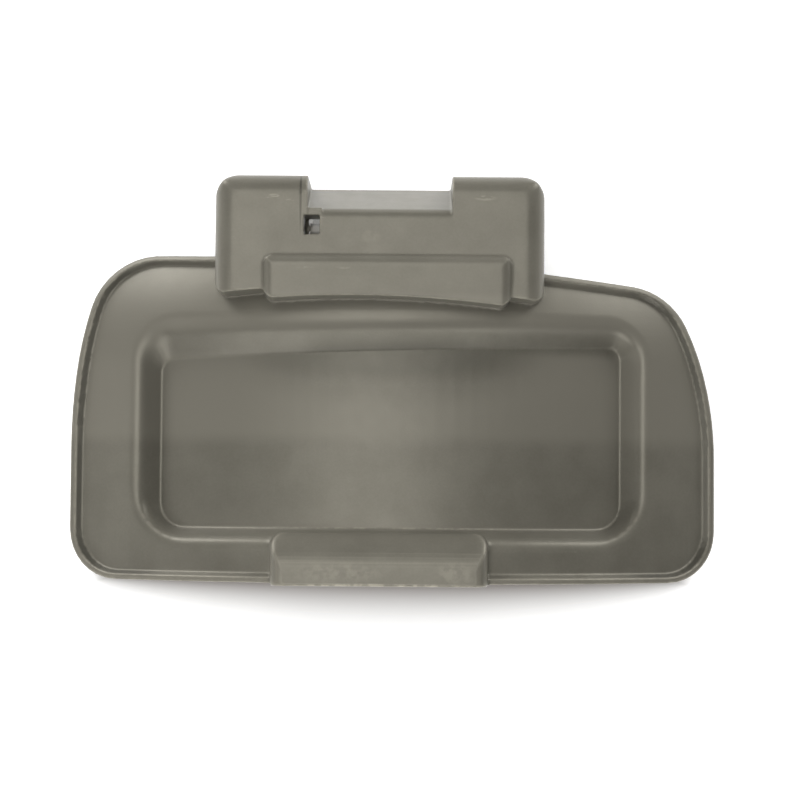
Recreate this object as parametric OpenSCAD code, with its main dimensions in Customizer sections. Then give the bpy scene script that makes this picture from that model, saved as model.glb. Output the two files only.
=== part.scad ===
// Side discharge cover of a rotary lawn mower: one injection moulded plastic flap.
// An arched plate with a raised rim and a recessed panel hangs from a hollow hinge housing.
// It lies on a table here, arch upwards: X runs along the hinge, Y from the lower edge to
// the hinge and Z up, away from the mower. All sizes are in millimetres.

/* [Plate] */
// Width of the plate across its side edges
plate_w = 298.4; // [280:0.2:320]
// Radius of the arch, seen along the side edges
arch_r = 250; // [235:1:320]
// Wall thickness of the moulding
wall = 2.6; // [2:0.1:3.2]
// Height of the upper edge at the left of the housing, above the lower edge
left_h = 148.6; // [144:0.2:152]
// Height of the upper edge at the right of the housing
right_h = 139.2; // [134:0.2:142]
// Angle at which the upper edge falls to the right, in degrees
right_fall = 5.4; // [2:0.1:7]
// Height at which the left side edge begins to lean inwards
left_bend_h = 62; // [50:1:66]
// Radius of the left side edge above that bend
left_side_r = 232; // [210:1:300]
// Height at which the right side edge begins to lean inwards
right_bend_h = 57; // [50:1:62]
// Radius of the right side edge above that bend
right_side_r = 137; // [128:1:150]
// Radius of the upper left corner
upper_left_r = 32; // [20:1:38]
// Radius of the upper right corner
upper_right_r = 32; // [18:1:34]
// Radius of the two lower corners
lower_r = 23; // [12:1:26]
// Height at which the plate begins to roll over towards its upper edge
roll_h = 98; // [90:1:110]
// Radius of that roll
roll_r = 100; // [95:1:140]

/* [Rim] */
// Height of the rim above the plate
rim_h = 3.2; // [1.5:0.1:4]
// Width of the rim's flat top
rim_top_w = 2.4; // [1.5:0.1:3.5]
// Width of the slope between the rim and the plate
rim_slope_w = 1.9; // [1:0.1:4]

/* [Recessed panel] */
// Width of the panel at the plate's surface
panel_w = 230.4; // [200:0.2:236]
// Place of the panel's middle, to the side of the plate's middle
panel_x = -1.1; // [-4:0.1:4]
// Height of the panel's lower border above the plate's lower edge
panel_low = 19.2; // [18:0.2:26]
// Height of the panel's upper border
panel_high = 116.2; // [112:0.2:119]
// Depth of the panel
panel_d = 12; // [6:0.5:13]
// Width of the steep wall at the panel's sides
panel_side_w = 4.5; // [4:0.1:8]
// Width of the steep wall at the bottom
panel_low_w = 4.4; // [4:0.1:8]
// Width of the gentler slope at the top
panel_high_w = 12.2; // [10:0.1:18]
// Slope of the floor's upper edge, rising to the right by this much in each millimetre
panel_tilt = 0.032; // [0:0.002:0.04]
// Radius of the panel's rounded upper edge
panel_edge_r = 4.5; // [3:0.5:6]
// Radius of the panel's lower corners at the plate's surface
panel_low_r = 22; // [18:1:28]
// Radius of the panel's upper corners at the plate's surface
panel_high_r = 16; // [14:1:22]
// Radius of the floor's lower corners
floor_low_r = 12; // [8:0.5:16]
// Radius of the floor's upper corners
floor_high_r = 6; // [4:0.5:12]

/* [Hinge housing] */
// Width of the housing
housing_w = 146.4; // [130:0.2:156]
// Place of the housing's middle, to the side of the plate's middle
housing_x = -6.2; // [-12:0.2:4]
// Height of the housing's back above the plate's lower edge
housing_back = 181; // [177:0.5:190]
// Height of the housing's front, at the crest of its curve
housing_front = 131.2; // [130:0.2:136]
// Rise of the housing's face above the crown of the plate
face_rise = 6; // [4:0.5:12]
// Radius of the housing's outer edges
edge_r = 9; // [4:0.5:10]
// Radius of the housing's two back corners, seen from above
back_corner_r = 10.5; // [8:0.5:12]
// Radius of the curve that the fronts of the housing and the ledge follow
front_curve_r = 515; // [400:5:700]
// Place of that curve's crest, to the side of the plate's middle
front_curve_x = -17; // [-20:1:0]
// Radius of the front corners of the housing and the ledge
front_corner_r = 5.5; // [2:0.5:8]

/* [Notch between the lugs] */
// Width of the notch
notch_w = 64; // [50:0.5:72]
// Height above the plate's lower edge at which the face begins to round over
notch_h = 161; // [158:0.2:163]
// Radius of that rounding
notch_r = 5; // [2:0.5:6]
// Lean of the notch's back wall away from upright, in degrees
notch_lean = 23; // [15:0.5:24]
// Clear height under the notch's back wall
notch_clear = 25; // [18:1:32]
// Width and depth of the fine groove beside the notch
groove = 0.9; // [0.4:0.1:1.2]
// Length of the groove below the housing's back
groove_l = 31; // [24:0.5:34]

/* [Hinge rod] */
// Radius of the bores for the hinge rod
bore_r = 3.2; // [2:0.1:4.5]
// Distance of the rod's axis from the housing's back
bore_back = 12; // [10.5:0.5:14]
// Height of the rod's axis above the lugs' feet
bore_z = 10; // [9:0.5:16]
// Thickness of the eye around each bore
eye_wall = 2.8; // [2:0.1:3.4]
// Length of each eye
eye_l = 5.6; // [4:0.2:10]

/* [Spring slot] */
// Width of the slot for the spring's leg
slot_w = 7; // [5:0.2:9]
// Length of the slot
slot_l = 8.8; // [6:0.2:9.4]
// Gap between the slot and the start of the notch's rounding, towards the back
slot_over = 1.4; // [0.6:0.2:2]
// How far the slot bites into the lug's end wall
slot_bite = 1.6; // [0.4:0.2:1.8]
// Width of the hook that the leg rests behind
hook_w = 6.2; // [4:0.2:8]
// Thickness of the hook
hook_t = 3.2; // [2:0.2:4]
// Depth of the hook below the face
hook_d = 16; // [10:1:24]
// Width of the sloping tongue that leads the leg into the slot
tongue_w = 4.4; // [3:0.2:6]
// Depth of the tongue below the face
tongue_d = 22; // [12:1:24]
// Lean of the tongue away from upright, in degrees
tongue_lean = 20; // [12:0.5:21]

/* [Ledge] */
// Width of the ledge on the housing
ledge_w = 109.5; // [90:0.5:116]
// Place of the ledge's middle, to the side of the plate's middle
ledge_x = -2.8; // [-8:0.2:0]
// Height of the ledge's back above the plate's lower edge
ledge_back = 144.3; // [140:0.1:148]
// Height of the ledge's front, at the crest of its curve
ledge_front = 126.7; // [125:0.1:129]
// Rise of the ledge above the housing's face
ledge_rise = 5; // [3:0.5:8]
// Radius of the ledge's edges
ledge_r = 4.6; // [2:0.1:6]
// Fall of the ledge's face towards its front, in degrees
ledge_fall = 7; // [0:0.5:9]

/* [Finger grip] */
// Width of the grip
grip_w = 95.5; // [80:0.5:110]
// Place of the grip's middle, to the side of the plate's middle
grip_x = -5.5; // [-12:0.5:4]
// Height of the grip's upper border above the plate's lower edge
grip_high = 22.4; // [20:0.2:28]
// How far the grip reaches past the plate's lower edge
grip_over = 0.9; // [0:0.1:3]
// Rise of the grip above the crown of the plate
grip_rise = 7; // [5:0.5:12]
// Radius of the grip's side edges
grip_r = 5.5; // [4:0.5:9]
// Radius of the grip's long upper shoulder
grip_shoulder_r = 19; // [14:1:24]

/* [Hidden] */
$fn = 96;
plastic = [0.52, 0.50, 0.45];
half_w = plate_w / 2;
// the inner side of the two side edges lies on the table
crown = arch_r - sqrt(pow(arch_r - wall, 2) - pow(half_w, 2));
face_z = crown + face_rise;
ledge_z = face_z + ledge_rise;
// the housing and the ledge start well behind this line
blocks_from = roll_h;
grip_z = crown + grip_rise;
housing_left = housing_x - housing_w / 2;
housing_right = housing_x + housing_w / 2;
notch_left = housing_x - notch_w / 2;
notch_right = housing_x + notch_w / 2;
bore_y = housing_back - bore_back;
// middle of the whole outline, which becomes the origin
middle_y = (housing_back - grip_over) / 2;
// length of a step along a line or an arc that follows the arched plate
step = 9;
past = 1;
// a point inside every outline, seen from above
inner_point = [1, 71];

// points on a circle, from one angle to another
function arc(centre, r, from, to, n) =
    [for (i = [0:n]) centre + r * [cos(from + (to - from) * i / n), sin(from + (to - from) * i / n)]];

// points between two ends, without the ends
function between(a, b, n) = [for (i = [1:n - 1]) a + (b - a) * i / n];

// distance of the plate's surface, raised by h, from the arch's axis
function reach(y, h) =
    y <= roll_h ? arch_r + h : arch_r - roll_r + sqrt(pow(roll_r + h, 2) - pow(y - roll_h, 2));

// height of the plate's surface, raised by h
function surface_z(p, h) = crown - arch_r + sqrt(pow(reach(p[1], h), 2) - pow(p[0], 2));

// the plate's outline, moved inwards
left_bend = [left_side_r - half_w, left_bend_h];
right_bend = [half_w - right_side_r, right_bend_h];
fall_n = [sin(right_fall), cos(right_fall)];
right_start = [housing_right + past, right_h];
left_turn = 90 + acos((left_h - left_bend_h - upper_left_r) / (left_side_r - upper_left_r));
right_turn = 90 - right_fall
    - acos(((right_start - right_bend) * fall_n - upper_right_r) / (right_side_r - upper_right_r));
upper_left = left_bend + (left_side_r - upper_left_r) * [cos(left_turn), sin(left_turn)];
upper_right = right_bend + (right_side_r - upper_right_r) * [cos(right_turn), sin(right_turn)];

function outline(inset) = let (
    low_l = arc([lower_r - half_w, lower_r], lower_r - inset, 180, 270, 8),
    low_r = arc([half_w - lower_r, lower_r], lower_r - inset, 270, 360, 8),
    side_r = arc(right_bend, right_side_r - inset, 0, right_turn, 8),
    corner_r = arc(upper_right, upper_right_r - inset, right_turn, 90 - right_fall, 8),
    corner_l = arc(upper_left, upper_left_r - inset, 90, left_turn, 8),
    side_l = arc(left_bend, left_side_r - inset, left_turn, 180, 8),
    start = right_start - inset * fall_n,
    n = ceil(plate_w / step)
) concat(
    low_l, between(low_l[8], low_r[0], n), low_r,
    between(low_r[8], side_r[0], 4), side_r, [for (i = [1:8]) corner_r[i]],
    between(corner_r[8], start, 6), [start], between(start, corner_l[0], ceil(n / 2)),
    corner_l, [for (i = [1:8]) side_l[i]], between(side_l[8], low_l[0], 4)
);

// the panel's outline, as a share t of the way down its walls, made larger by grow
function panel_outline(t, grow) = let (
    x = panel_w / 2 + grow - t * panel_side_w,
    low = panel_low - grow + t * panel_low_w,
    high = panel_high + grow - t * panel_high_w,
    lr = panel_low_r + grow + t * (floor_low_r - panel_low_r),
    hr = panel_high_r + grow + t * (floor_high_r - panel_high_r),
    tilted = function(points) [for (p = points) [p[0], p[1] + t * panel_tilt * p[0]]],
    a = arc([lr - x, low + lr], lr, 180, 270, 7),
    b = arc([x - lr, low + lr], lr, 270, 360, 7),
    c = tilted(arc([x - hr, high - hr], hr, 0, 90, 6)),
    d = tilted(arc([hr - x, high - hr], hr, 90, 180, 6)),
    n = ceil(panel_w / step)
) [for (p = concat(
    a, between(a[7], b[0], n), b, between(b[7], c[0], 6),
    c, between(c[6], d[0], n), d, between(d[6], a[0], 6)
)) [p[0] + panel_x, p[1]]];

// everything under the plate's surface, raised by h
module under_surface(h, more = 0) {
    spread = 42 + more;
    thick = 90 + more;
    translate([0, 0, crown - arch_r]) rotate([-90, 0, 0]) rotate([0, 0, 270 - spread])
        rotate_extrude(angle = 2 * spread) {
            translate([arch_r + h - thick, -20 - more]) square([thick, roll_h + 20 + more]);
            intersection() {
                translate([arch_r - roll_r, roll_h]) circle(roll_r + h);
                translate([arch_r + h - thick, roll_h - past]) square([thick, 70 + more]);
            }
        }
}

// a cutter whose wall passes through rings of points
// rings holds pairs of an outline, measured along the surface raised by level, and the
// height above the plate's surface to which it is carried, straight away from the arch's axis
module sloped_cutter(rings, level) {
    n = len(rings[0][0]);
    raised = [for (ring = rings) for (p = ring[0]) let (
        q = [p[0] * (arch_r + ring[1]) / (arch_r + level), p[1]]
    ) [q[0], q[1], surface_z(q, ring[1])]];
    top = [for (i = [0:n - 1]) [raised[i][0], raised[i][1], ledge_z + 20]];
    last = (len(rings) - 1) * n;
    bottom = [for (i = [0:n - 1]) [raised[last + i][0], raised[last + i][1], -30]];
    levels = len(rings) + 2;
    centres = [concat(inner_point, ledge_z + 20), concat(inner_point, -30)];
    polyhedron(
        points = concat(top, raised, bottom, centres),
        faces = concat(
            [for (i = [0:n - 1]) [levels * n, (i + 1) % n, i]],
            [for (k = [0:levels - 2]) for (i = [0:n - 1]) [k * n + i, k * n + (i + 1) % n, (k + 1) * n + i]],
            [for (k = [0:levels - 2]) for (i = [0:n - 1])
                [k * n + (i + 1) % n, (k + 1) * n + (i + 1) % n, (k + 1) * n + i]],
            [for (i = [0:n - 1]) [levels * n + 1, (levels - 1) * n + i, (levels - 1) * n + (i + 1) % n]]
        )
    );
}

// takes the plate's field down to its own level, inside the rim
module field_cut() {
    slope = rim_slope_w / rim_h;
    difference() {
        sloped_cutter([
            [outline(rim_top_w - slope), rim_h + 1],
            [outline(rim_top_w + rim_slope_w + slope), -1]
        ], rim_h);
        under_surface(0);
    }
}

// the panel's rounded upper edge: how far it starts outside the border, then the place and
// the depth of its middle, and the share of the wall's depth at which it ends
wall_angle = atan2(panel_d, panel_side_w);
edge_from = panel_edge_r * tan(wall_angle / 2);
edge_mid = edge_from - panel_edge_r * sin(wall_angle / 2);
edge_mid_d = panel_edge_r * (1 - cos(wall_angle / 2));
edge_end = panel_edge_r * (1 - cos(wall_angle)) / panel_d;

// the recessed panel, or the space it takes on the underside
module panel_cut(down = 0) {
    grow = down * tan(wall_angle / 2);
    above = 0.3;
    difference() {
        sloped_cutter([
            [panel_outline(0, grow + edge_from + above * (edge_from - edge_mid) / edge_mid_d), above - down],
            [panel_outline(0, grow + edge_mid), -edge_mid_d - down],
            [panel_outline(edge_end, grow), -edge_end * panel_d - down],
            [panel_outline(1.1, grow), -1.1 * panel_d - down]
        ], -down);
        under_surface(-panel_d - down);
    }
}

// the plate's outer form, before the underside is taken away
module plate_form() {
    difference() {
        intersection() {
            under_surface(rim_h);
            linear_extrude(ledge_z) polygon(outline(0));
        }
        field_cut();
        panel_cut();
    }
}

// the space under the plate and under the panel
module underside() {
    difference() {
        under_surface(-wall, 3);
        panel_cut(wall);
    }
}

// a profile in Y and Z, drawn out along X
module across(x0, x1) translate([x0, 0, 0]) rotate([90, 0, 90]) linear_extrude(x1 - x0) children();

// a profile in X and Z, drawn out along Y
module along(y0, y1) translate([0, y1, 0]) rotate([90, 0, 0]) linear_extrude(y1 - y0) children();

// the height of a curved front at x, from the height of its crest
function front_at(crest, x) = crest - front_curve_r + sqrt(pow(front_curve_r, 2) - pow(x - front_curve_x, 2));

// seen from above: rounded corners, with fronts at their own heights to the left and right
module plan(x0, x1, left_front, right_front, y1, back_r, front_r) {
    polygon(concat(
        arc([x0 + front_r, left_front + front_r], front_r, 180, 270, 6),
        arc([x1 - front_r, right_front + front_r], front_r, 270, 360, 6),
        arc([x1 - back_r, y1 - back_r], back_r, 0, 90, 10),
        arc([x0 + back_r, y1 - back_r], back_r, 90, 180, 10)
    ));
}

// seen along Y: both upper corners rounded
module front_view(x0, x1, z0, z1, r) {
    polygon(concat(
        [[x0, z0], [x1, z0]],
        arc([x1 - r, z1 - r], r, 0, 90, 10),
        arc([x0 + r, z1 - r], r, 90, 180, 10)
    ));
}

// seen along X: the upper back corner rounded
module side_view(y0, y1, z0, z1, r) {
    polygon(concat([[y0, z0], [y1, z0]], arc([y1 - r, z1 - r], r, 0, 90, 10), [[y0, z1]]));
}

// seen along X: the part between the lugs, with its leaning back wall
module notch_view(inset, low) {
    r = notch_r - inset;
    centre = [notch_h, face_z - notch_r];
    wall_top = centre + r * [cos(notch_lean), sin(notch_lean)];
    drop = wall_top[1] - low;
    polygon(concat(
        [[panel_high, face_z - inset], [panel_high, low], [wall_top[0] + drop * tan(notch_lean), low]],
        arc(centre, r, notch_lean, 90, 8)
    ));
}

// the space in front of a curved front, at the height of its crest
module before_front(crest, low) {
    translate([front_curve_x, crest - front_curve_r, low]) cylinder(r = front_curve_r, h = ledge_z + 10);
}

// a block seen from above, whose front follows the curve and ends in rounded corners
module curved_plan(x0, x1, crest, y1, back_r, low, h) {
    r = front_corner_r;
    difference() {
        translate([0, 0, low]) linear_extrude(h)
            plan(x0, x1, front_at(crest, x0 + r) - 0.3, front_at(crest, x1 - r) - 0.3, y1, back_r, r);
        before_front(crest, low - past);
    }
}

// the housing's outer form, or with an inset the hollow inside it
module housing_form(inset, low) {
    left = housing_left + inset;
    right = housing_right - inset;
    back = housing_back - inset;
    top = face_z - inset;
    r = edge_r - inset / 2;
    intersection() {
        curved_plan(left, right, housing_front + inset, back, back_corner_r - inset / 2, low, top - low);
        along(blocks_from, back + past) front_view(left, right, low, top, r);
        union() {
            across(left - past, notch_left - inset) side_view(blocks_from, back, low, top, r);
            across(notch_right + inset, right + past) side_view(blocks_from, back, low, top, r);
            if (inset == 0) across(notch_left - past, notch_right + past) notch_view(0, notch_clear);
            if (inset > 0) across(notch_left, notch_right) notch_view(inset, low);
        }
    }
}

// tips its children down towards the front, about the upper edge of the ledge's back
module tipped() {
    translate([0, ledge_back, ledge_z]) rotate([ledge_fall, 0, 0])
        translate([0, -ledge_back, -ledge_z]) children();
}

module ledge_form(inset, low) {
    left = ledge_x - ledge_w / 2 + inset;
    right = ledge_x + ledge_w / 2 - inset;
    back = ledge_back - inset;
    top = ledge_z - inset;
    r = ledge_r - inset / 2;
    intersection() {
        curved_plan(left, right, ledge_front + inset, back, r, low, top - low);
        tipped() intersection() {
            along(blocks_from, back + past) front_view(left, right, low - 5 * past, top, r);
            across(left - past, right + past) side_view(blocks_from, back, low - 5 * past, top, r);
        }
    }
}

// seen along X: a long shoulder that rises from the plate to the grip's face
module grip_view(inset, low, lower_end) {
    r = grip_shoulder_r - inset;
    centre = [grip_high - sqrt(pow(grip_shoulder_r, 2) - pow(grip_shoulder_r - grip_rise - wall, 2)),
        grip_z - grip_shoulder_r];
    foot = acos((grip_high - inset - centre[0]) / r);
    polygon(concat(
        [[lower_end, grip_z - inset], [lower_end, low], [grip_high - inset, low]],
        arc(centre, r, foot, 90, 10)
    ));
}

module grip_form(inset, low, lower_end) {
    left = grip_x - grip_w / 2 + inset;
    right = grip_x + grip_w / 2 - inset;
    r = grip_r - inset / 2;
    intersection() {
        translate([0, 0, low]) linear_extrude(grip_z)
            plan(left, right, lower_end - 2 * r, lower_end - 2 * r, grip_high - inset, r, r);
        along(lower_end - past, grip_high) front_view(left, right, low, grip_z - inset, r);
        across(left, right) grip_view(inset, low, lower_end);
    }
}

// lifts the housing's lower edge to the plate's underside, apart from the lugs' sloping feet
module under_housing() {
    intersection() {
        under_surface(-wall, 3);
        across(housing_left - past, housing_right + past)
            polygon([
                [blocks_from, -past], [bore_y - 13, -past], [housing_front, face_z], [blocks_from, face_z]
            ]);
    }
}

module hinge_eyes() {
    for (x = [housing_left, notch_left - eye_l, notch_right, housing_right - eye_l])
        translate([x, bore_y, bore_z]) rotate([0, 90, 0]) cylinder(r = bore_r + eye_wall, h = eye_l);
}

module end_walls() {
    for (x = [notch_left - wall, notch_right]) intersection() {
        translate([x, 0, 0]) cube([wall, housing_back, ledge_z]);
        housing_form(0, 0);
    }
}

module hinge_bore() {
    translate([housing_left - past, bore_y, bore_z]) rotate([0, 90, 0])
        cylinder(r = bore_r, h = housing_w + 2 * past);
}

slot_left = notch_left - slot_bite;
slot_back = notch_h + slot_over;

module spring_slot() {
    translate([slot_left, slot_back - slot_l, face_z - hook_d])
        cube([slot_w, slot_l, hook_d + past]);
}

// a tongue that leads the spring's leg down into the slot
module slot_tongue() {
    front = slot_back - slot_l;
    run = tongue_d * tan(tongue_lean);
    across(slot_left + slot_w - tongue_w, slot_left + slot_w + past) polygon([
        [front - wall, face_z - 0.1], [front + 0.1, face_z - 0.1],
        [front + run, face_z - tongue_d], [front + run - wall, face_z - tongue_d]
    ]);
}

module slot_hook() {
    x = slot_left + slot_w - hook_w + 1.2;
    translate([x, slot_back, face_z - hook_d]) cube([hook_w, hook_t, hook_d - 0.2]);
}

// a fine groove down the left lug, beside its end wall
module groove_cut() {
    across(notch_left - wall - groove, notch_left - wall) difference() {
        side_view(housing_back - groove_l, housing_back + past, notch_clear, face_z + past, edge_r);
        side_view(0, housing_back - groove, 0, face_z - groove, edge_r - groove);
    }
}

module discharge_cover() color(plastic) translate([0, -middle_y, 0]) difference() {
    union() {
        difference() {
            union() {
                difference() {
                    union() {
                        plate_form();
                        grip_form(0, 0, -grip_over);
                    }
                    underside();
                }
                difference() {
                    union() {
                        housing_form(0, 0);
                        ledge_form(0, 0);
                    }
                    under_housing();
                }
            }
            housing_form(wall, -past);
            ledge_form(wall, -past);
            grip_form(wall, -past, -grip_over - past);
        }
        end_walls();
        hinge_eyes();
        slot_hook();
        slot_tongue();
    }
    difference() {
        spring_slot();
        slot_tongue();
    }
    groove_cut();
    hinge_bore();
}

discharge_cover();
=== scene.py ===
import math

import bpy
import numpy as np
from mathutils import Matrix, Vector
from mathutils.kdtree import KDTree


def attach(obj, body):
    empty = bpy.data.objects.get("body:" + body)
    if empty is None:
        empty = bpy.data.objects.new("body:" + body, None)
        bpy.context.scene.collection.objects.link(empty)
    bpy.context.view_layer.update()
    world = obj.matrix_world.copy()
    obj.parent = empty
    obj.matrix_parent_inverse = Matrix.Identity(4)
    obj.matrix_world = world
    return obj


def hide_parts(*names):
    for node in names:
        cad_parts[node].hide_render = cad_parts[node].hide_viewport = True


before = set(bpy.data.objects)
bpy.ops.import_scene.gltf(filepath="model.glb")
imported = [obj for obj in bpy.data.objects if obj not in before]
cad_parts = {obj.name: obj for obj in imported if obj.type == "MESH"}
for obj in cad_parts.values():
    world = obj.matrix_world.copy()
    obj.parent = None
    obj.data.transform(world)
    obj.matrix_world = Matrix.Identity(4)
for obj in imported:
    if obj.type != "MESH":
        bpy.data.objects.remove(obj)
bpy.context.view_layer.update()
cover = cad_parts["discharge_cover"]
print("frame loaded")


# shader maths
class Wire:
    # an output socket, with arithmetic that adds the nodes it needs
    def __init__(self, tree, socket):
        self.tree = tree
        self.socket = socket

    def maths(self, operation, *values):
        isVector = self.socket.type == "VECTOR"
        kind = "ShaderNodeVectorMath" if isVector else "ShaderNodeMath"
        return addNode(self.tree, kind, {"operation": operation}, dict(enumerate(values)))

    def __add__(self, other):
        return self.maths("ADD", self, other)

    def __radd__(self, other):
        return self.maths("ADD", other, self)

    def __sub__(self, other):
        return self.maths("SUBTRACT", self, other)

    def __rsub__(self, other):
        return self.maths("SUBTRACT", other, self)

    def __mul__(self, other):
        return self.maths("MULTIPLY", self, other)

    def __rmul__(self, other):
        return self.maths("MULTIPLY", other, self)

    def between(self, low, high):
        # 0 at low, 1 at high, with a smooth rise
        steps = {"data_type": "FLOAT", "interpolation_type": "SMOOTHSTEP"}
        reach = {"Value": self, "From Min": low, "From Max": high}
        return addNode(self.tree, "ShaderNodeMapRange", steps, reach)


def addNode(tree, kind, settings=None, values=None, out=0):
    # settings come first, then the sockets take numbers or links
    node = tree.nodes.new(kind)
    for name, value in (settings or {}).items():
        setattr(node, name, value)
    for name, value in (values or {}).items():
        socket = node.inputs[name]
        if isinstance(value, Wire):
            tree.links.new(value.socket, socket)
        else:
            socket.default_value = value
    return Wire(tree, node.outputs[out])


def newMaterial(name):
    material = bpy.data.materials.new(name)
    material.use_nodes = True
    material.node_tree.nodes.clear()
    return material, material.node_tree


def finishMaterial(tree, surface):
    output = tree.nodes.new("ShaderNodeOutputMaterial")
    tree.links.new(surface.socket, output.inputs["Surface"])


# moulded plastic
plasticLook = {
    "colour": (0.090, 0.085, 0.069, 1),
    "paleColour": (0.112, 0.106, 0.087, 1),
    "darkColour": (0.040, 0.038, 0.031, 1),
    "wearAndHighlightColour": (0.30, 0.28, 0.23, 1),
    "tongueHighlightColour": (0.50, 0.47, 0.41, 1),
    "sheen": (1.0, 0.95, 0.80, 1),
    "cloudSize": 0.020,
    "cloudShare": 0.7,
    "fleckSize": 0.0011,
    "roughness": 0.36,
    "roughnessSwing": 0.10,
    "roughnessSize": 0.006,
    "grainSize": 0.0008,
    "grainDepth": 0.00003,
    "waveSize": 0.018,
    "waveDepth": 0.00010,
    # painted highlight: the plate is paler above this band, where light falls on it. The painted
    # highlight fades towards the housing, on the housing itself and at the top of the panel, in the
    # housing's shade
    "paintedLightFrom": (-0.0295, -0.0205),
    "paintedLightColour": (0.126, 0.119, 0.098, 1),
    "rippleDepth": 0.0025,
    "rippleSize": 0.050,
    "paintedLightFade": (0.026, 0.062),
    "paintedLightFadeShare": 0.75,
    "housingArea": ((-0.0740, 0.0610), (0.0390, 0.1000), 0.004),
    "housingShare": 0.7,
    "panelTop": ((0.0030, 0.0080, 0.0350), (0.0800, 0.0240, 0.0300)),
    "panelWall": ((-0.1020, 0.1000), (0.0150, 0.0205), 0.0045),
    "shadedTop": ((0.0000, 0.0100, 0.0350), (0.0750, 0.0130, 0.0300)),
    "shadedShare": 0.5,
    # painted shade in the groove beside the left lug, and on the rim's side slopes
    "groove": ((-0.04125, 0.0800, 0.0560), (0.0007, 0.0200, 0.0200)),
    "rimSlopeShade": 0.78,
    # wear and painted highlights by how sharply the surface bends: rubbed edges with painted
    # highlights on them, painted highlights on round edges, and thin painted highlights where the
    # plate's forms meet, but not at the grip or the housing
    "edgeSharpness": (0.020, 0.090),
    "edgeWearAndHighlight": 0.34,
    "evenEdgeShare": 0.4,
    "roundHighlightSharpness": (0.008, 0.028),
    "roundEdgeHighlight": 0.16,
    "hollowSharpness": (-0.012, -0.070),
    "hollowHighlight": 0.14,
    "plateEnd": (0.031, 0.034),
    "gripArea": ((-0.0530, 0.0430), (-0.1000, -0.0672), 0.002),
    "streakSize": 0.0010,
    "blotchSize": 0.0040,
    # painted highlight on the tongue in the spring slot: middle and half size
    "springTongueHighlight": ((-0.0350, 0.0675, 0.048), (0.0045, 0.0060, 0.012)),
    # worn places and one painted highlight: middle, half size, strength, and how far streaks break
    # them up
    "scuffsAndHighlights": {
        "leftLugOuter": ((-0.0537, 0.0804, 0.062), (0.0055, 0.0016, 0.02), 0.35, 1.0),
        "leftLugInner": ((-0.0453, 0.0782, 0.062), (0.0040, 0.0014, 0.02), 0.35, 1.0),
        "rightLug": ((0.0404, 0.0802, 0.062), (0.0060, 0.0016, 0.02), 0.30, 1.0),
        "housingMiddle": ((-0.0109, 0.0631, 0.062), (0.0070, 0.0040, 0.02), 0.12, 0.2),
        "ledgeLeft": ((-0.0400, 0.0486, 0.060), (0.0060, 0.0008, 0.02), 0.22, 0.8),
        "ledgeMiddle": ((-0.0220, 0.0486, 0.060), (0.0040, 0.0008, 0.02), 0.22, 0.8),
        "gripLip": ((-0.0050, -0.0908, 0.050), (0.0500, 0.0016, 0.03), 1.00, 0.3),
        "gripFaceLeft": ((-0.0230, -0.0850, 0.050), (0.0280, 0.0065, 0.03), 0.17, 0.0),
        "gripFaceRight": ((0.0280, -0.0850, 0.050), (0.0120, 0.0065, 0.03), 0.20, 0.0),
        "gateMark": ((-0.0034, -0.0664, 0.040), (0.0012, 0.0008, 0.02), 0.60, 0.0),
        # painted highlight along the panel floor's lower edge
        "floorEdgeHighlight": ((-0.0050, -0.0658, 0.040), (0.0950, 0.0006, 0.02), 0.40, 0.4),
    },
}


def noise(place, size, detail=2.0, stretch=(1, 1, 1)):
    scale = tuple(1 / (size * amount) for amount in stretch)
    texture = {"Vector": place * scale, "Scale": 1.0, "Detail": detail, "Roughness": 0.55}
    return addNode(place.tree, "ShaderNodeTexNoise", None, texture, "Fac")


def blend(amount, first, second):
    # mixes two colours
    kind = {"data_type": "RGBA", "blend_type": "MIX"}
    return addNode(amount.tree, "ShaderNodeMix", kind, {0: amount, 6: first, 7: second}, 2)


def spotMask(place, middle, halfSize):
    # 1 in the middle of a soft ellipsoid, 0 outside it
    inverse = tuple(1 / length for length in halfSize)
    away = (place - middle) * inverse
    length = addNode(place.tree, "ShaderNodeVectorMath", {"operation": "LENGTH"}, {0: away}, "Value")
    return length.between(1.0, 0.4)


def patchMask(x, y, across, along, soft):
    # 1 over a rectangle seen from above, with soft sides
    inside = x.between(across[0] - soft, across[0]) * x.between(across[1] + soft, across[1])
    return inside * y.between(along[0] - soft, along[0]) * y.between(along[1] + soft, along[1])


def attribute(tree, name):
    return addNode(tree, "ShaderNodeAttribute", {"attribute_name": name}, None, "Fac")


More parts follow.
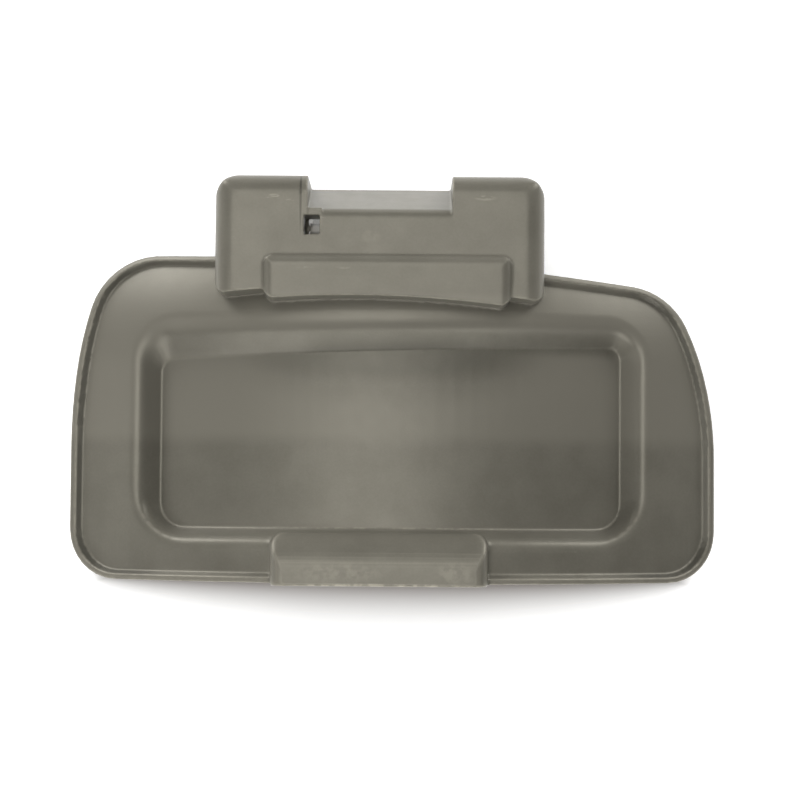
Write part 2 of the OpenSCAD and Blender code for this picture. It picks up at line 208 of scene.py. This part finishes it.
def mouldedPlastic():
    material, tree = newMaterial("mouldedPlastic")
    look = plasticLook
    place = addNode(tree, "ShaderNodeTexCoord", out="Object")
    x, y = [addNode(tree, "ShaderNodeSeparateXYZ", None, {"Vector": place}, name) for name in "XY"]
    clouds = noise(place, look["cloudSize"], 4.0).between(0.30, 0.70)
    flecks = noise(place, look["fleckSize"], 1.0).between(0.25, 0.75)
    speckle = look["cloudShare"] * clouds + (1 - look["cloudShare"]) * flecks
    colour = blend(speckle, look["colour"], look["paleColour"])
    # painted highlight band, painted shade at the top of the panel, in the groove and on the rim's
    # side slopes
    # painted highlight where light falls on the plate
    ripple = look["rippleDepth"] * noise(place, look["rippleSize"], 1.0)
    paintedLight = (y + ripple).between(*look["paintedLightFrom"])
    paintedLight = paintedLight * (1 - look["paintedLightFadeShare"] * y.between(*look["paintedLightFade"]))
    paintedLight = paintedLight * (1 - look["housingShare"] * patchMask(x, y, *look["housingArea"]))
    paintedLight = paintedLight * (1 - spotMask(place, *look["panelTop"])) * (1 - patchMask(x, y, *look["panelWall"]))
    colour = blend(paintedLight, colour, look["paintedLightColour"])
    shade = look["shadedShare"] * spotMask(place, *look["shadedTop"])
    colour = blend(shade, colour, look["darkColour"])
    # painted shade in the groove and on the rim's side slopes
    colour = blend(spotMask(place, *look["groove"]), colour, look["darkColour"])
    colour = blend(attribute(tree, "rimSlope") * look["rimSlopeShade"], colour, look["darkColour"])
    # wear and painted highlights, the wear broken up by small streaks and blotches
    streaks = noise(place, look["streakSize"], 3.0, (4, 1, 1)).between(0.48, 0.62)
    blotches = noise(place, look["blotchSize"], 4.0).between(0.40, 0.62)
    bend = attribute(tree, "edgeShape")
    onPlate = 1 - y.between(*look["plateEnd"])
    hollows = bend.between(*look["hollowSharpness"]) * onPlate
    hollows = hollows * (1 - patchMask(x, y, *look["gripArea"]))
    patches = look["evenEdgeShare"] + (1 - look["evenEdgeShare"]) * blotches
    wearAndHighlight = bend.between(*look["edgeSharpness"]) * patches * look["edgeWearAndHighlight"]
    # painted highlights on the plate's round edges and in its hollows
    roundHighlight = bend.between(*look["roundHighlightSharpness"]) * onPlate
    wearAndHighlight = wearAndHighlight + roundHighlight * look["roundEdgeHighlight"] + hollows * look["hollowHighlight"]
    for middle, halfSize, strength, broken in look["scuffsAndHighlights"].values():
        texture = streaks * broken + blotches * (1 - broken)
        wearAndHighlight = wearAndHighlight + spotMask(place, middle, halfSize) * texture * strength
    wearAndHighlight = addNode(tree, "ShaderNodeMath", {"operation": "MINIMUM"}, {0: wearAndHighlight, 1: 1.0})
    colour = blend(wearAndHighlight, colour, look["wearAndHighlightColour"])
    # painted highlight on the tongue in the spring slot
    colour = blend(spotMask(place, *look["springTongueHighlight"]), colour, look["tongueHighlightColour"])
    roughness = look["roughness"] + look["roughnessSwing"] * noise(place, look["roughnessSize"], 4.0)
    grain = noise(place, look["grainSize"], 2.0) * look["grainDepth"]
    waves = noise(place, look["waveSize"], 1.0) * look["waveDepth"]
    height = {"Strength": 1.0, "Distance": 1.0, "Height": grain + waves}
    relief = addNode(tree, "ShaderNodeBump", None, height)
    shader = addNode(tree, "ShaderNodeBsdfPrincipled", None, {
        "Base Color": colour,
        "Roughness": roughness,
        "IOR": 1.5,
        "Specular Tint": look["sheen"],
        "Normal": relief,
    })
    finishMaterial(tree, shader)
    return material


plastic = mouldedPlastic()
print("plastic ready")


# the moulding, a copy of the solid with the soft edges that moulded plastic has
mouldShape = {
    "meshSize": 0.0005,  # side of the small squares that the skin is rebuilt from
    "triangles": 190000,
    "edgeRounds": 2,  # how far all edges are softened
    # the spring slot and the groove stay crisp inside this box
    "crispBox": ((-0.0440, 0.0570, 0.020), (-0.0300, 0.0920, 0.070)),
    "crispFade": 0.002,
    "crispness": 0.80,
    # the panel's upper edge is softer, in a band along its outline
    "panelMiddle": (-0.0011, -0.02235),
    "panelHalf": (0.1152, 0.0485),
    "panelCorner": 0.019,
    "panelBand": (0.0024, 0.0060),
    "panelRounds": 28,
    # the rim's outer wall and lower edge are smoothed, away from the housing and the grip
    "rimWidth": (0.0042, 0.0060),
    "rimSteepness": (0.05, 0.30),
    "rimBreaks": (((-0.082, 0.030), (0.070, 0.100)), ((-0.054, -0.100), (0.049, -0.060))),
    "rimBreakFade": 0.003,
    "rimRounds": 10,
    # broad surfaces lose the last trace of flat facets
    "flatBends": (0.015, 0.05),
    "flatFrom": 0.85,
    "flatRounds": 30,
    # the housing's back corners are rounder than its edges
    "softCorners": ((-0.0750, 0.0875, 0.0560), (0.0626, 0.0875, 0.0560)),
    "cornerReach": (0.0030, 0.0100),
    "cornerRounds": 50,
    # the rim's side slopes, by how far they face inwards, their depth and their place
    "slopeFacing": (-0.30, 0.05),
    "slopeDepth": (0.0085, 0.0110),
    "slopeSides": (0.100, 0.118),
}


def smoothstep(low, high, value):
    t = np.clip((value - low) / (high - low), 0, 1)
    return t * t * (3 - 2 * t)


def outsideBox(points, low, high):
    return np.linalg.norm(np.maximum(np.maximum(low - points, points - high), 0), axis=1)


def panelDistance(points):
    # how far each point is outside the panel's outline, seen from above
    half = np.array(mouldShape["panelHalf"]) - mouldShape["panelCorner"]
    away = np.abs(points[:, :2] - mouldShape["panelMiddle"]) - half
    outside = np.linalg.norm(np.maximum(away, 0), axis=1)
    return outside + np.minimum(away.max(axis=1), 0) - mouldShape["panelCorner"]


def neighbourMean(values, edges):
    ends = np.concatenate([edges[:, 0], edges[:, 1]])
    others = np.concatenate([edges[:, 1], edges[:, 0]])
    count = np.bincount(ends, minlength=len(values))
    total = [np.bincount(ends, column[others], len(values)) for column in values.T]
    return np.stack(total, axis=1) / count[:, None]


def spread(weight, edges, rounds):
    # evens out one number for each point
    weight = weight.reshape(-1, 1)
    for _ in range(rounds):
        weight = neighbourMean(weight, edges)
    return weight[:, 0]


def relax(points, edges, weight, rounds):
    # moves each point half way to the middle of its neighbours, or less by its weight
    for _ in range(rounds):
        points = points + 0.5 * weight[:, None] * (neighbourMean(points, edges) - points)
    return points


def relaxPart(points, edges, weight, rounds):
    # the same, only for the points that have a weight
    near = edges[weight[edges].max(axis=1) > 0]
    used = np.unique(near)
    number = np.full(len(points), -1)
    number[used] = np.arange(len(used))
    points[used] = relax(points[used], number[near], weight[used], rounds)
    return points


def applyModifier(piece, kind, **settings):
    modifier = piece.modifiers.new(kind.lower(), kind)
    for name, value in settings.items():
        setattr(modifier, name, value)
    with bpy.context.temp_override(object=piece, active_object=piece, selected_objects=[piece]):
        bpy.ops.object.modifier_apply(modifier=modifier.name)


def pointNormals(mesh):
    normals = np.empty(len(mesh.vertices) * 3)
    mesh.vertices.foreach_get("normal", normals)
    return normals.reshape(-1, 3)


def edgeShapes(points, normals, edges):
    # above 0 on an outer edge, 0 on a flat surface, below 0 in a corner
    inward = neighbourMean(points, edges) - points
    bends = -(inward * normals).sum(axis=1) / mouldShape["meshSize"]
    return spread(bends, edges, 1)


def outlineDepth(points):
    # how far each point is inside the cover's outline, seen from above
    reach = np.linalg.norm(points[:, :2], axis=1)
    parts = 720
    angle = np.arctan2(points[:, 1], points[:, 0]) + np.pi
    turn = (angle * (parts / 2 / np.pi)).astype(int) % parts
    outline = np.zeros(parts)
    np.maximum.at(outline, turn, reach)
    return outline[turn] - reach


def rimWall(points, normals, edges):
    # 1 on the rim's outer wall and lower edge, away from the housing and the grip
    shape = mouldShape
    wall = 1 - smoothstep(*shape["rimWidth"], outlineDepth(points))
    wall = wall * (1 - smoothstep(*shape["rimSteepness"], normals[:, 2]))
    for low, high in shape["rimBreaks"]:
        wall = wall * smoothstep(0, shape["rimBreakFade"], outsideBox(points[:, :2], low, high))
    return spread(wall, edges, 3)


def slopeShapes(points, normals, edges):
    # 1 on the side slopes of the rim that face the middle of the cover, and 0 elsewhere
    shape = mouldShape
    reach = np.linalg.norm(points[:, :2], axis=1)
    inward = -(points[:, :2] * normals[:, :2]).sum(axis=1) / np.maximum(reach, 0.001)
    slope = smoothstep(*shape["slopeFacing"], inward) * smoothstep(0.0, 0.2, normals[:, 2])
    slope = slope * (1 - smoothstep(*shape["slopeDepth"], outlineDepth(points)))
    slope = slope * smoothstep(*shape["slopeSides"], np.abs(points[:, 0]))
    return spread(slope, edges, 3)


def keepShapes(mesh, points, normals, shapes):
    # each corner of the lighter mesh takes the values of the nearest point of the fine one
    finder = KDTree(len(points))
    for number, point in enumerate(points):
        finder.insert(point, number)
    finder.balance()
    nearest = [finder.find(vertex.co)[1] for vertex in mesh.vertices]
    for name, values in shapes.items():
        mesh.attributes.new(name, "FLOAT", "POINT").data.foreach_set("value", values[nearest])
    mesh.shade_smooth()
    mesh.normals_split_custom_set_from_vertices(normals[nearest])


def softenedMoulding():
    shape = mouldShape
    piece = bpy.data.objects.new("coverMoulding", cover.data.copy())
    bpy.context.scene.collection.objects.link(piece)
    applyModifier(piece, "WELD", merge_threshold=1e-6)
    applyModifier(piece, "REMESH", mode="VOXEL", voxel_size=shape["meshSize"])
    mesh = piece.data
    points = np.empty(len(mesh.vertices) * 3)
    mesh.vertices.foreach_get("co", points)
    points = points.reshape(-1, 3)
    edges = np.empty(len(mesh.edges) * 2, dtype=np.int32)
    mesh.edges.foreach_get("vertices", edges)
    edges = edges.reshape(-1, 2)
    crisp = 1 - smoothstep(0, shape["crispFade"], outsideBox(points, *shape["crispBox"]))
    points = relax(points, edges, 1 - shape["crispness"] * crisp, shape["edgeRounds"])
    band = 1 - smoothstep(*shape["panelBand"], np.abs(panelDistance(points)))
    points = relaxPart(points, edges, band, shape["panelRounds"])
    points = relaxPart(points, edges, rimWall(points, pointNormals(mesh), edges), shape["rimRounds"])
    bend = np.linalg.norm(neighbourMean(points, edges) - points, axis=1) / shape["meshSize"]
    flat = spread(1 - smoothstep(*shape["flatBends"], bend), edges, 4)
    points = relax(points, edges, smoothstep(shape["flatFrom"], 1, flat), shape["flatRounds"])
    for middle in shape["softCorners"]:
        away = np.linalg.norm(points - middle, axis=1)
        corner = 1 - smoothstep(*shape["cornerReach"], away)
        points = relaxPart(points, edges, corner, shape["cornerRounds"])
    mesh.vertices.foreach_set("co", points.ravel())
    mesh.update()
    normals = pointNormals(mesh)
    shapes = {
        "edgeShape": edgeShapes(points, normals, edges),
        "rimSlope": slopeShapes(points, normals, edges),
    }
    triangles = 2 * len(mesh.polygons)
    applyModifier(piece, "DECIMATE", ratio=min(1, shape["triangles"] / triangles))
    keepShapes(mesh, points, normals, shapes)
    mesh.materials.clear()
    mesh.materials.append(plastic)
    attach(piece, "root")
    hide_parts("discharge_cover")
    return piece


moulding = softenedMoulding()
print("moulding ready:", len(moulding.data.polygons), "faces")


# camera at the photo's angle
cameraPlace = {
    "imageSize": 800,
    "sensor": 36,
    "height": 0.950,
    "focalPixels": 2033.0,
    "lean": 0.047,
    "roll": 0.45,
    "middlePixel": (393.0, 400.0),
    "middle": (0.0, -0.00645),
}


def placeCamera():
    place = cameraPlace
    lean = math.atan(place["lean"])
    roll = math.radians(place["roll"])
    look = Vector((0, math.sin(lean), -math.cos(lean)))
    up = Vector((0, math.cos(lean), math.sin(lean)))
    right = Vector((1, 0, 0))
    turnedRight = right * math.cos(roll) + up * math.sin(roll)
    turnedUp = up * math.cos(roll) - right * math.sin(roll)
    # the ray through the middle pixel meets the table at the middle point
    across = (place["middlePixel"][0] - place["imageSize"] / 2) / place["focalPixels"]
    upwards = (place["imageSize"] / 2 - place["middlePixel"][1]) / place["focalPixels"]
    ray = look + turnedRight * across + turnedUp * upwards
    reach = place["height"] / -ray.z
    spot = Vector((place["middle"][0], place["middle"][1], 0)) - ray * reach
    data = bpy.data.cameras.new("camera")
    data.sensor_width = place["sensor"]
    data.lens = place["sensor"] * place["focalPixels"] / place["imageSize"]
    data.clip_end = 20
    camera = bpy.data.objects.new("camera", data)
    bpy.context.scene.collection.objects.link(camera)
    turn = Matrix((turnedRight, turnedUp, -look)).transposed().to_4x4()
    camera.matrix_world = Matrix.Translation(spot) @ turn
    bpy.context.scene.camera = camera


placeCamera()
print("camera placed")


# floor, lamps and surroundings
studio = {
    "floorSize": 8,
    "floorColour": (0.86, 0.86, 0.85, 1),
    "paintedShadowColour": (0.40, 0.37, 0.355, 1),
    "floorSheenGlow": 0.8,  # how much brighter the floor is in reflections
    "floorGlow": 0.35,  # how much brighter the floor is to the camera
    "moreGlow": 0.15,  # added beside and behind the cover
    "housingBox": ((-0.0766, 0.0642), (0.0402, 0.0890), 0.002),  # no added glow below the housing
    # the painted shadow lies in front of this line, which bends like the arch
    "frontLine": -0.0888,
    "frontBend": 0.0045,
    "frontSoft": 0.003,
    "shadowLength": (0.0040, 0.0270),
    "shadowEnds": (0.128, 0.142),
    # each lamp: place, size and power; all point at the middle of the table
    "lamps": {
        "overheadBox": ((-0.18, 0.03, 1.6), (1.5, 0.9), 23.5),
        "backLeftWall": ((-1.24, 1.54, 0.37), (0.9, 0.7), 28),
        "backRightWall": ((1.33, 1.35, 0.57), (0.9, 0.8), 24),
        "frontWall": ((-0.20, -1.92, 0.42), (1.8, 0.7), 31),
        "leftCard": ((-1.75, -0.40, 0.81), (0.9, 0.8), 6),
    },
}


def layFloor():
    bpy.ops.mesh.primitive_plane_add(size=studio["floorSize"])
    floor = bpy.context.object
    floor.name = "floor"
    material, tree = newMaterial("paper")
    place = addNode(tree, "ShaderNodeTexCoord", out="Object")
    x, y = [addNode(tree, "ShaderNodeSeparateXYZ", None, {"Vector": place}, name) for name in "XY"]
    under = patchMask(x, y, *studio["housingBox"])
    # how far down the painted shadow each point lies, 0 at the cover and 1 at the shadow's end
    half = x * (1 / studio["shadowEnds"][1])
    rise = addNode(tree, "ShaderNodeMath", {"operation": "MAXIMUM"}, {0: 1 - half * half, 1: 0.0})
    short, long = studio["shadowLength"]
    ahead = (studio["frontLine"] - studio["frontBend"] * rise) - y
    share = {"operation": "DIVIDE", "use_clamp": True}
    dim = 1 - addNode(tree, "ShaderNodeMath", share, {0: ahead, 1: short + (long - short) * rise})
    behind = y.between(studio["frontLine"], studio["frontLine"] + studio["frontSoft"])
    near, far = studio["shadowEnds"]
    aside = (half * half).between((near / far) ** 2, 1.0)
    lit = addNode(tree, "ShaderNodeMath", {"operation": "MAXIMUM"}, {0: behind, 1: aside})
    lit = addNode(tree, "ShaderNodeMath", {"operation": "MAXIMUM"}, {0: lit, 1: 1 - dim * dim})
    seen = addNode(tree, "ShaderNodeLightPath", out="Is Camera Ray")
    mirrored = addNode(tree, "ShaderNodeLightPath", out="Is Glossy Ray")
    brightness = seen * (1 - under) * (lit * studio["floorGlow"] + behind * studio["moreGlow"])
    brightness = brightness + mirrored * studio["floorSheenGlow"]
    # the floor's colour paints a soft shadow in front of the cover
    shader = addNode(tree, "ShaderNodeBsdfPrincipled", None, {
        "Base Color": blend(lit, studio["paintedShadowColour"], studio["floorColour"]),
        "Roughness": 0.9,
        "Emission Color": blend(brightness, (0, 0, 0, 1), (1, 1, 1, 1)),
        "Emission Strength": 1.0,
    })
    finishMaterial(tree, shader)
    floor.data.materials.append(material)


def hangLamp(name, place, size, power):
    data = bpy.data.lights.new(name, "AREA")
    data.shape = "RECTANGLE"
    data.size, data.size_y = size
    data.energy = power
    lamp = bpy.data.objects.new(name, data)
    bpy.context.scene.collection.objects.link(lamp)
    lamp.location = place
    lamp.rotation_euler = (-Vector(place)).to_track_quat("-Z", "Y").to_euler()
    lamp.visible_camera = False


def lightScene():
    world = bpy.data.worlds.new("surroundings")
    bpy.context.scene.world = world
    world.use_nodes = True
    tree = world.node_tree
    tree.nodes.clear()
    seen = addNode(tree, "ShaderNodeLightPath", out="Is Camera Ray")
    background = addNode(tree, "ShaderNodeBackground", None, {"Color": (1, 1, 1, 1), "Strength": seen})
    output = tree.nodes.new("ShaderNodeOutputWorld")
    tree.links.new(background.socket, output.inputs["Surface"])
    for name, lamp in studio["lamps"].items():
        hangLamp(name, *lamp)


layFloor()
lightScene()
bpy.context.scene.view_settings.view_transform = "Standard"
print("studio ready")

bpy.context.view_layer.update()
